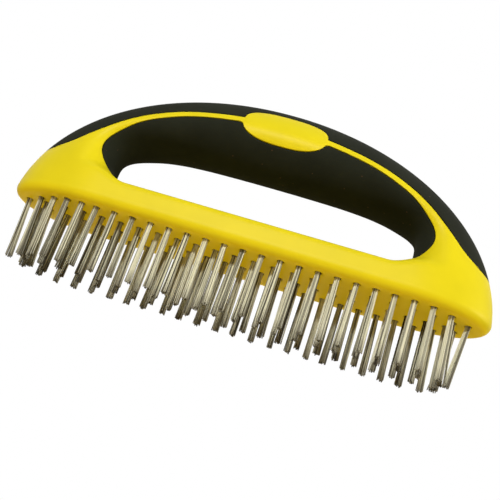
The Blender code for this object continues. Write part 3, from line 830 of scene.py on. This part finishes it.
    # From 0 at both ends of the free wire to 1 at its middle
    swell = calc("MULTIPLY", calc("MULTIPLY", below, calc("SUBTRACT", 1.0, below)), 4.0)
    bowed = added(straight, scaled(tree, kept("bend"), swell))
    laid = joined(tree, "GeometryNodeSetPosition", {"Geometry": real.outputs["Geometry"], "Position": bowed})

    # Round wires with closed ends
    profile = joined(tree, "GeometryNodeCurvePrimitiveCircle",
                     {"Resolution": WIRE_SIDES, "Radius": given["Wire Radius"]}).outputs["Curve"]
    shape = joined(tree, "GeometryNodeCurveToMesh", {
        "Curve": laid.outputs["Geometry"], "Profile Curve": profile, "Fill Caps": True,
    }).outputs["Mesh"]
    coat = {"Material": surface}
    for kind, inputs in (("SetShadeSmooth", {}), ("RealizeInstances", {}), ("SetMaterial", coat)):
        shape = joined(tree, f"GeometryNode{kind}", {"Geometry": shape, **inputs}).outputs["Geometry"]
    joined(tree, "NodeGroupOutput", {"Wires Mesh": shape})
    return tree


def wire_column(name, places, tree, seed):
    """One column's tufts as a plain mesh."""
    mesh = bpy.data.meshes.new(f"{name}_places")
    mesh.from_pydata([(x, y, 0.0) for x, y in places], [], [])
    for key, value in zip(("bent", "spread"), BENT.get(name, STRAIGHT)):
        mesh.attributes.new(key, "FLOAT", "POINT").data.foreach_set("value", [value] * len(places))
    maker = in_scene(f"{name}_maker", mesh)
    step = maker.modifiers.new("tufts", "NODES")
    step.node_group = tree
    values = WIRES | {"Seed": seed}
    for item in tree.interface.items_tree:
        if item.name in values:
            step[item.identifier] = values[item.name]
    graph = bpy.context.evaluated_depsgraph_get()
    made = bpy.data.meshes.new_from_object(maker.evaluated_get(graph), depsgraph=graph)
    made.name = name
    bpy.data.objects.remove(maker, do_unlink=True)
    return in_scene(name, made)


# ---------------------------------------------------------------- stage

WHITE = (1.0, 1.0, 1.0, 1.0)
FLOOR_HALF = 1.5                # half its side
FLOOR_COLOUR = (0.86, 0.86, 0.85, 1.0)
FLOOR_BOUNCE = (0.60, 0.46, 0.24, 1.0)      # its colour for the light that it throws back
FLOOR_ROUGHNESS = 0.8
FLOOR_GLOW = 0.42
FLOOR_FADE = (0.25, 0.80)       # distances over which it fades to the surround's white
SOFTBOX_SIDE = (0.0, -0.80, 0.60)           # the surround gives more light from this side
SOFTBOX_SPAN = (-0.3, 0.9)
SOFTBOX_GLOW = (0.05, 0.26)
LAMP_TARGET = (0.0, 0.0, 0.06)  # the middle of the brush
LAMPS = (                       # name, place, width, height and watts
    ("key", (-0.12, -1.15, 0.40), 0.30, 0.10, 8.9),
    ("side", (1.1, -0.20, 0.20), 0.5, 0.5, 5.2),
    ("back", (-0.3, 1.1, 0.30), 0.8, 0.8, 10.5),
)
BOUNCE_LAMP = ("table bounce", (0.0, -0.05, -0.50), 0.40, 0.34, 1.3)
BOUNCE_COLOUR = (1.0, 0.72, 0.34)
CAMERA_PLACE = (0.04917, -0.38287, -0.12671)
CAMERA_AZIMUTH = -7.295         # degrees from +Y towards +X
CAMERA_RISE = 22.970
CAMERA_ROLL = 19.276
CAMERA_SENSOR = 36.0            # millimetres, as the lens
CAMERA_LENS = 67.01
CAMERA_NEAR = 0.01


def mixed_shader(tree, factor, low, high):
    """One shader for a factor of 0, the other for 1."""
    return joined(tree, "ShaderNodeMixShader", {0: factor, 1: low, 2: high}).outputs["Shader"]


def pale_floor():
    """A pale floor that fades to white far off and can be seen through from below."""
    mesh = bpy.data.meshes.new("floor")
    corners = [(x * FLOOR_HALF, y * FLOOR_HALF, 0) for x, y in ((-1, -1), (1, -1), (1, 1), (-1, 1))]
    mesh.from_pydata(corners, [], [(0, 1, 2, 3)])
    floor_plane = in_scene("floor", mesh)
    made, tree, shader = new_material("pale_floor")
    ray = joined(tree, "ShaderNodeLightPath").outputs
    surface = joined(tree, "ShaderNodeNewGeometry").outputs
    fill(tree, shader, {
        "Base Color": blended(tree, ray["Is Camera Ray"], FLOOR_BOUNCE, FLOOR_COLOUR),
        "Roughness": FLOOR_ROUGHNESS, "Emission Color": WHITE,
        "Emission Strength": maths(tree, "MULTIPLY", ray["Is Camera Ray"], FLOOR_GLOW),
    })
    away = joined(tree, "ShaderNodeVectorMath", {0: surface["Position"]}, operation="LENGTH").outputs["Value"]
    far = maths(tree, "MULTIPLY", remapped(tree, away, FLOOR_FADE, (0.0, 1.0)), ray["Is Camera Ray"])
    white = joined(tree, "ShaderNodeEmission", {"Color": WHITE, "Strength": 1.0}).outputs["Emission"]
    fading = mixed_shader(tree, far, shader.outputs["BSDF"], white)
    let_by = maths(tree, "MAXIMUM", surface["Backfacing"], ray["Is Shadow Ray"])
    clear = joined(tree, "ShaderNodeBsdfTransparent").outputs["BSDF"]
    fill(tree, tree.nodes["Material Output"], {"Surface": mixed_shader(tree, let_by, fading, clear)})
    mesh.materials.append(made)


def white_surround():
    """A world that looks white, and lights the brush with a dim glow, stronger on the softbox's side."""
    world = bpy.data.worlds.new("studio")
    bpy.context.scene.world = world
    world.use_nodes = True
    tree = world.node_tree
    tree.nodes.clear()
    ray = joined(tree, "ShaderNodeLightPath").outputs
    seen = maths(tree, "MAXIMUM", ray["Is Camera Ray"], ray["Is Glossy Ray"])
    seen = maths(tree, "MAXIMUM", seen, ray["Is Transmission Ray"])
    ahead = joined(tree, "ShaderNodeTexCoord").outputs["Generated"]
    towards = joined(tree, "ShaderNodeVectorMath", {0: ahead, 1: SOFTBOX_SIDE},
                     operation="DOT_PRODUCT").outputs["Value"]
    glow = remapped(tree, towards, SOFTBOX_SPAN, SOFTBOX_GLOW)
    strength = joined(tree, "ShaderNodeMix", {"Factor": seen, "A": glow, "B": 1.0}).outputs["Result"]
    sky = joined(tree, "ShaderNodeBackground", {"Color": WHITE, "Strength": strength}).outputs["Background"]
    joined(tree, "ShaderNodeOutputWorld", {"Surface": sky})


def lamp(name, place, width, height, watts, colour=(1.0, 1.0, 1.0)):
    """A soft lamp, unseen by the camera, that faces the brush."""
    data = bpy.data.lights.new(name, "AREA")
    data.shape = "RECTANGLE"
    data.size = width
    data.size_y = height
    data.energy = watts
    data.color = colour
    made = in_scene(name, data)
    made.visible_camera = False
    made.location = place
    made.rotation_euler = (Vector(LAMP_TARGET) - Vector(place)).to_track_quat("-Z", "Y").to_euler()
    return made


def shine_on(light, piece):
    """The lamp lights that piece alone."""
    lit = bpy.data.collections.new(light.name)
    lit.objects.link(piece)
    light.light_linking.receiver_collection = lit


def camera():
    """The main view's camera."""
    data = bpy.data.cameras.new("camera")
    data.sensor_width = CAMERA_SENSOR
    data.lens = CAMERA_LENS
    data.clip_start = CAMERA_NEAR
    made = in_scene("camera", data)
    azimuth, rise = radians(CAMERA_AZIMUTH), radians(CAMERA_RISE)
    ahead = Vector((sin(azimuth) * cos(rise), cos(azimuth) * cos(rise), sin(rise)))
    upright = ahead.to_track_quat("-Z", "Y")
    made.rotation_euler = (upright.to_matrix() @ Matrix.Rotation(radians(CAMERA_ROLL), 3, "Z")).to_euler()
    made.location = CAMERA_PLACE
    bpy.context.scene.camera = made


# ---------------------------------------------------------------- build

bpy.context.scene.view_settings.view_transform = "Standard"
camera()
pale_floor()
white_surround()
for values in LAMPS:
    lamp(*values)
bounce = lamp(*BOUNCE_LAMP, BOUNCE_COLOUR)

yellow, wire = yellow_plastic(), steel_wire()
crown_black = black_grip("black_crown", gloss=0.02, sheen=0.045)
finger_black = black_grip("black_fingers", gloss=0.0, sheen=0.02)
loft = Loft(arch_stations())
crown_end, finger_start = cut_shares(loft, edge_lines())
columns = tuft_places()
everywhere = [place for places in columns.values() for place in places]
zeros, ones = np.zeros(loft.count), np.ones(loft.count)

pieces = {
    "brush_body": brush_body("moulded_body", loft, crown_end, finger_start, everywhere, yellow),
    "crown_grip": grip("crown_soft_grip", loft, zeros, crown_end, True, crown_black),
    "finger_grip": grip("finger_soft_grip", loft, finger_start, ones, False, finger_black),
}
tree = wire_tree(wire)
for seed, (column, places) in enumerate(columns.items()):
    pieces[f"tufts_{column}"] = wire_column(f"wires_{column}", places, tree, seed)
shine_on(bounce, pieces["brush_body"])
for node, piece in pieces.items():
    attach(piece, ROOT)
    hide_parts(node)
